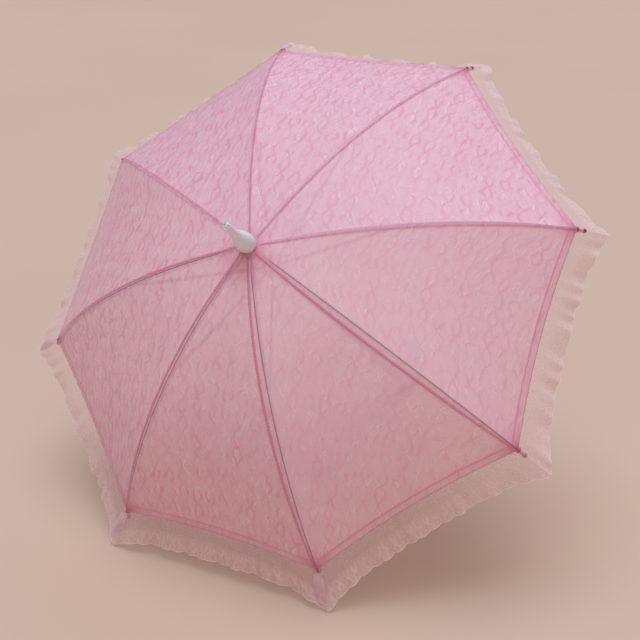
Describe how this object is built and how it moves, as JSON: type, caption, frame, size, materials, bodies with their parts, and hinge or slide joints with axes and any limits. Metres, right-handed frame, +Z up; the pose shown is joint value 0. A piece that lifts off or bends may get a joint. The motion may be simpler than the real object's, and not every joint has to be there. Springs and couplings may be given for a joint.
{
  "type": "lace parasol",
  "caption": "Small open lace parasol with a gathered frill, steel folding ribs and stretchers, a sliding runner, a white crook handle and a pear-shaped ferrule cap.",
  "frame": {"origin": "bottom centre of the part's box, on the floor that the frill's two lower corners and the crook's bend rest on", "axes": "+X across the parasol between two side ribs, +Y from the ferrule's side towards the handle, +Z up from the floor"},
  "size_m": [0.6876, 0.5837, 0.5321],
  "materials": {
    "lace": "sheer",
    "frame_steel": "plated",
    "shaft_steel": "polished",
    "white_plastic": "gloss",
    "tip_plastic": "satin"
  },
  "bodies": {
    "stick": {"shaft": "shaft_steel", "shaft_pins": "frame_steel", "top_notch": "white_plastic", "notch_wire": "frame_steel", "crown_washer": "lace", "ferrule_cap": "white_plastic", "handle": "white_plastic", "handle_collar": "white_plastic"},
    "rib_1": {"rib_1": "frame_steel", "rib_tip_1": "tip_plastic", "joint_rivet_1": "frame_steel"},
    "rib_2": {"rib_2": "frame_steel", "rib_tip_2": "tip_plastic", "joint_rivet_2": "frame_steel"},
    "rib_3": {"rib_3": "frame_steel", "rib_tip_3": "tip_plastic", "joint_rivet_3": "frame_steel"},
    "rib_4": {"rib_4": "frame_steel", "rib_tip_4": "tip_plastic", "joint_rivet_4": "frame_steel"},
    "rib_5": {"rib_5": "frame_steel", "rib_tip_5": "tip_plastic", "joint_rivet_5": "frame_steel"},
    "rib_6": {"rib_6": "frame_steel", "rib_tip_6": "tip_plastic", "joint_rivet_6": "frame_steel"},
    "rib_7": {"rib_7": "frame_steel", "rib_tip_7": "tip_plastic", "joint_rivet_7": "frame_steel"},
    "rib_8": {"rib_8": "frame_steel", "rib_tip_8": "tip_plastic", "joint_rivet_8": "frame_steel"},
    "stretcher_1": {"stretcher_1": "frame_steel"},
    "stretcher_2": {"stretcher_2": "frame_steel"},
    "stretcher_3": {"stretcher_3": "frame_steel"},
    "stretcher_4": {"stretcher_4": "frame_steel"},
    "stretcher_5": {"stretcher_5": "frame_steel"},
    "stretcher_6": {"stretcher_6": "frame_steel"},
    "stretcher_7": {"stretcher_7": "frame_steel"},
    "stretcher_8": {"stretcher_8": "frame_steel"},
    "runner": {"runner": "white_plastic", "runner_wire": "frame_steel"},
    "panel_1_left": {"panel_1_left": "lace"},
    "panel_1_right": {"panel_1_right": "lace"},
    "panel_2_left": {"panel_2_left": "lace"},
    "panel_2_right": {"panel_2_right": "lace"},
    "panel_3_left": {"panel_3_left": "lace"},
    "panel_3_right": {"panel_3_right": "lace"},
    "panel_4_left": {"panel_4_left": "lace"},
    "panel_4_right": {"panel_4_right": "lace"},
    "panel_5_left": {"panel_5_left": "lace"},
    "panel_5_right": {"panel_5_right": "lace"},
    "panel_6_left": {"panel_6_left": "lace"},
    "panel_6_right": {"panel_6_right": "lace"},
    "panel_7_left": {"panel_7_left": "lace"},
    "panel_7_right": {"panel_7_right": "lace"},
    "panel_8_left": {"panel_8_left": "lace"},
    "panel_8_right": {"panel_8_right": "lace"},
    "top_catch": {"top_catch": "frame_steel"},
    "bottom_catch": {"bottom_catch": "frame_steel"}
  },
  "joints": [
    {"name": "open_close", "type": "hinge", "parent": "stick", "child": "rib_1", "pos_m": [0.00383, -0.20273, 0.36586], "axis": [0.9239, 0.2435, 0.2952], "range_deg": [0, 64], "deforming": ["panel_1_left", "panel_1_right", "panel_2_left", "panel_2_right", "panel_3_left", "panel_3_right", "panel_4_left", "panel_4_right", "panel_5_left", "panel_5_right", "panel_6_left", "panel_6_right", "panel_7_left", "panel_7_right", "panel_8_left", "panel_8_right", "top_catch", "bottom_catch"]},
    {"name": "rib_2_hinge", "type": "hinge", "parent": "stick", "child": "rib_2", "pos_m": [0.00924, -0.19929, 0.37003], "axis": [0.3827, 0.5878, 0.7127], "range_deg": [0, 64]},
    {"name": "rib_3_hinge", "type": "hinge", "parent": "stick", "child": "rib_3", "pos_m": [0.00924, -0.19442, 0.37594], "axis": [-0.3827, 0.5878, 0.7127], "range_deg": [0, 64]},
    {"name": "rib_4_hinge", "type": "hinge", "parent": "stick", "child": "rib_4", "pos_m": [0.00383, -0.19097, 0.38011], "axis": [-0.9239, 0.2435, 0.2952], "range_deg": [0, 64]},
    {"name": "rib_5_hinge", "type": "hinge", "parent": "stick", "child": "rib_5", "pos_m": [-0.00383, -0.19097, 0.38011], "axis": [-0.9239, -0.2435, -0.2952], "range_deg": [0, 64]},
    {"name": "rib_6_hinge", "type": "hinge", "parent": "stick", "child": "rib_6", "pos_m": [-0.00924, -0.19442, 0.37594], "axis": [-0.3827, -0.5878, -0.7127], "range_deg": [0, 64]},
    {"name": "rib_7_hinge", "type": "hinge", "parent": "stick", "child": "rib_7", "pos_m": [-0.00924, -0.19929, 0.37003], "axis": [0.3827, -0.5878, -0.7127], "range_deg": [0, 64]},
    {"name": "rib_8_hinge", "type": "hinge", "parent": "stick", "child": "rib_8", "pos_m": [-0.00383, -0.20273, 0.36586], "axis": [0.9239, -0.2435, -0.2952], "range_deg": [0, 64]},
    {"name": "stretcher_1_hinge", "type": "hinge", "parent": "rib_1", "child": "stretcher_1", "pos_m": [0.06204, -0.26921, 0.23851], "axis": [0.9239, 0.2435, 0.2952], "range_deg": [-128, 0]},
    {"name": "stretcher_2_hinge", "type": "hinge", "parent": "rib_2", "child": "stretcher_2", "pos_m": [0.14978, -0.21338, 0.3062], "axis": [0.3827, 0.5878, 0.7127], "range_deg": [-128, 0]},
    {"name": "stretcher_3_hinge", "type": "hinge", "parent": "rib_3", "child": "stretcher_3", "pos_m": [0.14978, -0.13444, 0.40192], "axis": [-0.3827, 0.5878, 0.7127], "range_deg": [-128, 0]},
    {"name": "stretcher_4_hinge", "type": "hinge", "parent": "rib_4", "child": "stretcher_4", "pos_m": [0.06204, -0.07861, 0.46961], "axis": [-0.9239, 0.2435, 0.2952], "range_deg": [-128, 0]},
    {"name": "stretcher_5_hinge", "type": "hinge", "parent": "rib_5", "child": "stretcher_5", "pos_m": [-0.06204, -0.07861, 0.46961], "axis": [-0.9239, -0.2435, -0.2952], "range_deg": [-128, 0]},
    {"name": "stretcher_6_hinge", "type": "hinge", "parent": "rib_6", "child": "stretcher_6", "pos_m": [-0.14978, -0.13444, 0.40192], "axis": [-0.3827, -0.5878, -0.7127], "range_deg": [-128, 0]},
    {"name": "stretcher_7_hinge", "type": "hinge", "parent": "rib_7", "child": "stretcher_7", "pos_m": [-0.14978, -0.21338, 0.3062], "axis": [0.3827, -0.5878, -0.7127], "range_deg": [-128, 0]},
    {"name": "stretcher_8_hinge", "type": "hinge", "parent": "rib_8", "child": "stretcher_8", "pos_m": [-0.06204, -0.26921, 0.23851], "axis": [0.9239, -0.2435, -0.2952], "range_deg": [-128, 0]},
    {"name": "runner_travel", "type": "hinge", "parent": "stretcher_1", "child": "runner", "pos_m": [0.00383, -0.15685, 0.32801], "axis": [0.9239, 0.2435, 0.2952], "range_deg": [0, 64]},
    {"name": "panel_1_left_fold", "type": "hinge", "parent": "rib_1", "child": "panel_1_left", "pos_m": [0.00383, -0.20273, 0.36586], "axis": [0.3513, -0.234, -0.9065], "range_deg": [-69.09, 0]},
    {"name": "panel_1_right_fold", "type": "hinge", "parent": "rib_1", "child": "panel_1_right", "pos_m": [0.00383, -0.20273, 0.36586], "axis": [0.3513, -0.234, -0.9065], "range_deg": [0, 69.09]},
    {"name": "panel_2_left_fold", "type": "hinge", "parent": "rib_2", "child": "panel_2_left", "pos_m": [0.00924, -0.19929, 0.37003], "axis": [0.8482, 0.0822, -0.5232], "range_deg": [-69.09, 0]},
    {"name": "panel_2_right_fold", "type": "hinge", "parent": "rib_2", "child": "panel_2_right", "pos_m": [0.00924, -0.19929, 0.37003], "axis": [0.8482, 0.0822, -0.5232], "range_deg": [0, 69.09]},
    {"name": "panel_3_left_fold", "type": "hinge", "parent": "rib_3", "child": "panel_3_left", "pos_m": [0.00924, -0.19442, 0.37594], "axis": [0.8482, 0.5293, 0.0189], "range_deg": [-69.09, 0]},
    {"name": "panel_3_right_fold", "type": "hinge", "parent": "rib_3", "child": "panel_3_right", "pos_m": [0.00924, -0.19442, 0.37594], "axis": [0.8482, 0.5293, 0.0189], "range_deg": [0, 69.09]},
    {"name": "panel_4_left_fold", "type": "hinge", "parent": "rib_4", "child": "panel_4_left", "pos_m": [0.00383, -0.19097, 0.38011], "axis": [0.3513, 0.8454, 0.4022], "range_deg": [-69.09, 0]},
    {"name": "panel_4_right_fold", "type": "hinge", "parent": "rib_4", "child": "panel_4_right", "pos_m": [0.00383, -0.19097, 0.38011], "axis": [0.3513, 0.8454, 0.4022], "range_deg": [0, 69.09]},
    {"name": "panel_5_left_fold", "type": "hinge", "parent": "rib_5", "child": "panel_5_left", "pos_m": [-0.00383, -0.19097, 0.38011], "axis": [-0.3513, 0.8454, 0.4022], "range_deg": [-69.09, 0]},
    {"name": "panel_5_right_fold", "type": "hinge", "parent": "rib_5", "child": "panel_5_right", "pos_m": [-0.00383, -0.19097, 0.38011], "axis": [-0.3513, 0.8454, 0.4022], "range_deg": [0, 69.09]},
    {"name": "panel_6_left_fold", "type": "hinge", "parent": "rib_6", "child": "panel_6_left", "pos_m": [-0.00924, -0.19442, 0.37594], "axis": [-0.8482, 0.5293, 0.0189], "range_deg": [-69.09, 0]},
    {"name": "panel_6_right_fold", "type": "hinge", "parent": "rib_6", "child": "panel_6_right", "pos_m": [-0.00924, -0.19442, 0.37594], "axis": [-0.8482, 0.5293, 0.0189], "range_deg": [0, 69.09]},
    {"name": "panel_7_left_fold", "type": "hinge", "parent": "rib_7", "child": "panel_7_left", "pos_m": [-0.00924, -0.19929, 0.37003], "axis": [-0.8482, 0.0822, -0.5232], "range_deg": [-69.09, 0]},
    {"name": "panel_7_right_fold", "type": "hinge", "parent": "rib_7", "child": "panel_7_right", "pos_m": [-0.00924, -0.19929, 0.37003], "axis": [-0.8482, 0.0822, -0.5232], "range_deg": [0, 69.09]},
    {"name": "panel_8_left_fold", "type": "hinge", "parent": "rib_8", "child": "panel_8_left", "pos_m": [-0.00383, -0.20273, 0.36586], "axis": [-0.3513, -0.234, -0.9065], "range_deg": [-69.09, 0]},
    {"name": "panel_8_right_fold", "type": "hinge", "parent": "rib_8", "child": "panel_8_right", "pos_m": [-0.00383, -0.20273, 0.36586], "axis": [-0.3513, -0.234, -0.9065], "range_deg": [0, 69.09]},
    {"name": "top_catch_press", "type": "hinge", "parent": "stick", "child": "top_catch", "pos_m": [0, -0.09132, 0.2888], "axis": [1, 0, 0], "range_deg": [0, 7.5], "stiffness_Nm_per_rad": 0.5},
    {"name": "bottom_catch_press", "type": "hinge", "parent": "stick", "child": "bottom_catch", "pos_m": [0, 0.04835, 0.17361], "axis": [-1, 0, 0], "range_deg": [0, 7.5], "stiffness_Nm_per_rad": 0.5}
  ],
  "couplings": [
    {"joint": "rib_2_hinge", "follows": "open_close", "ratio": 1},
    {"joint": "rib_3_hinge", "follows": "open_close", "ratio": 1},
    {"joint": "rib_4_hinge", "follows": "open_close", "ratio": 1},
    {"joint": "rib_5_hinge", "follows": "open_close", "ratio": 1},
    {"joint": "rib_6_hinge", "follows": "open_close", "ratio": 1},
    {"joint": "rib_7_hinge", "follows": "open_close", "ratio": 1},
    {"joint": "rib_8_hinge", "follows": "open_close", "ratio": 1},
    {"joint": "stretcher_1_hinge", "follows": "open_close", "ratio": -2},
    {"joint": "stretcher_2_hinge", "follows": "open_close", "ratio": -2},
    {"joint": "stretcher_3_hinge", "follows": "open_close", "ratio": -2},
    {"joint": "stretcher_4_hinge", "follows": "open_close", "ratio": -2},
    {"joint": "stretcher_5_hinge", "follows": "open_close", "ratio": -2},
    {"joint": "stretcher_6_hinge", "follows": "open_close", "ratio": -2},
    {"joint": "stretcher_7_hinge", "follows": "open_close", "ratio": -2},
    {"joint": "stretcher_8_hinge", "follows": "open_close", "ratio": -2},
    {"joint": "runner_travel", "follows": "open_close", "ratio": 1},
    {"joint": "panel_1_left_fold", "follows": "open_close", "ratio": -1.0794},
    {"joint": "panel_1_right_fold", "follows": "open_close", "ratio": 1.0794},
    {"joint": "panel_2_left_fold", "follows": "open_close", "ratio": -1.0794},
    {"joint": "panel_2_right_fold", "follows": "open_close", "ratio": 1.0794},
    {"joint": "panel_3_left_fold", "follows": "open_close", "ratio": -1.0794},
    {"joint": "panel_3_right_fold", "follows": "open_close", "ratio": 1.0794},
    {"joint": "panel_4_left_fold", "follows": "open_close", "ratio": -1.0794},
    {"joint": "panel_4_right_fold", "follows": "open_close", "ratio": 1.0794},
    {"joint": "panel_5_left_fold", "follows": "open_close", "ratio": -1.0794},
    {"joint": "panel_5_right_fold", "follows": "open_close", "ratio": 1.0794},
    {"joint": "panel_6_left_fold", "follows": "open_close", "ratio": -1.0794},
    {"joint": "panel_6_right_fold", "follows": "open_close", "ratio": 1.0794},
    {"joint": "panel_7_left_fold", "follows": "open_close", "ratio": -1.0794},
    {"joint": "panel_7_right_fold", "follows": "open_close", "ratio": 1.0794},
    {"joint": "panel_8_left_fold", "follows": "open_close", "ratio": -1.0794},
    {"joint": "panel_8_right_fold", "follows": "open_close", "ratio": 1.0794}
  ]
}
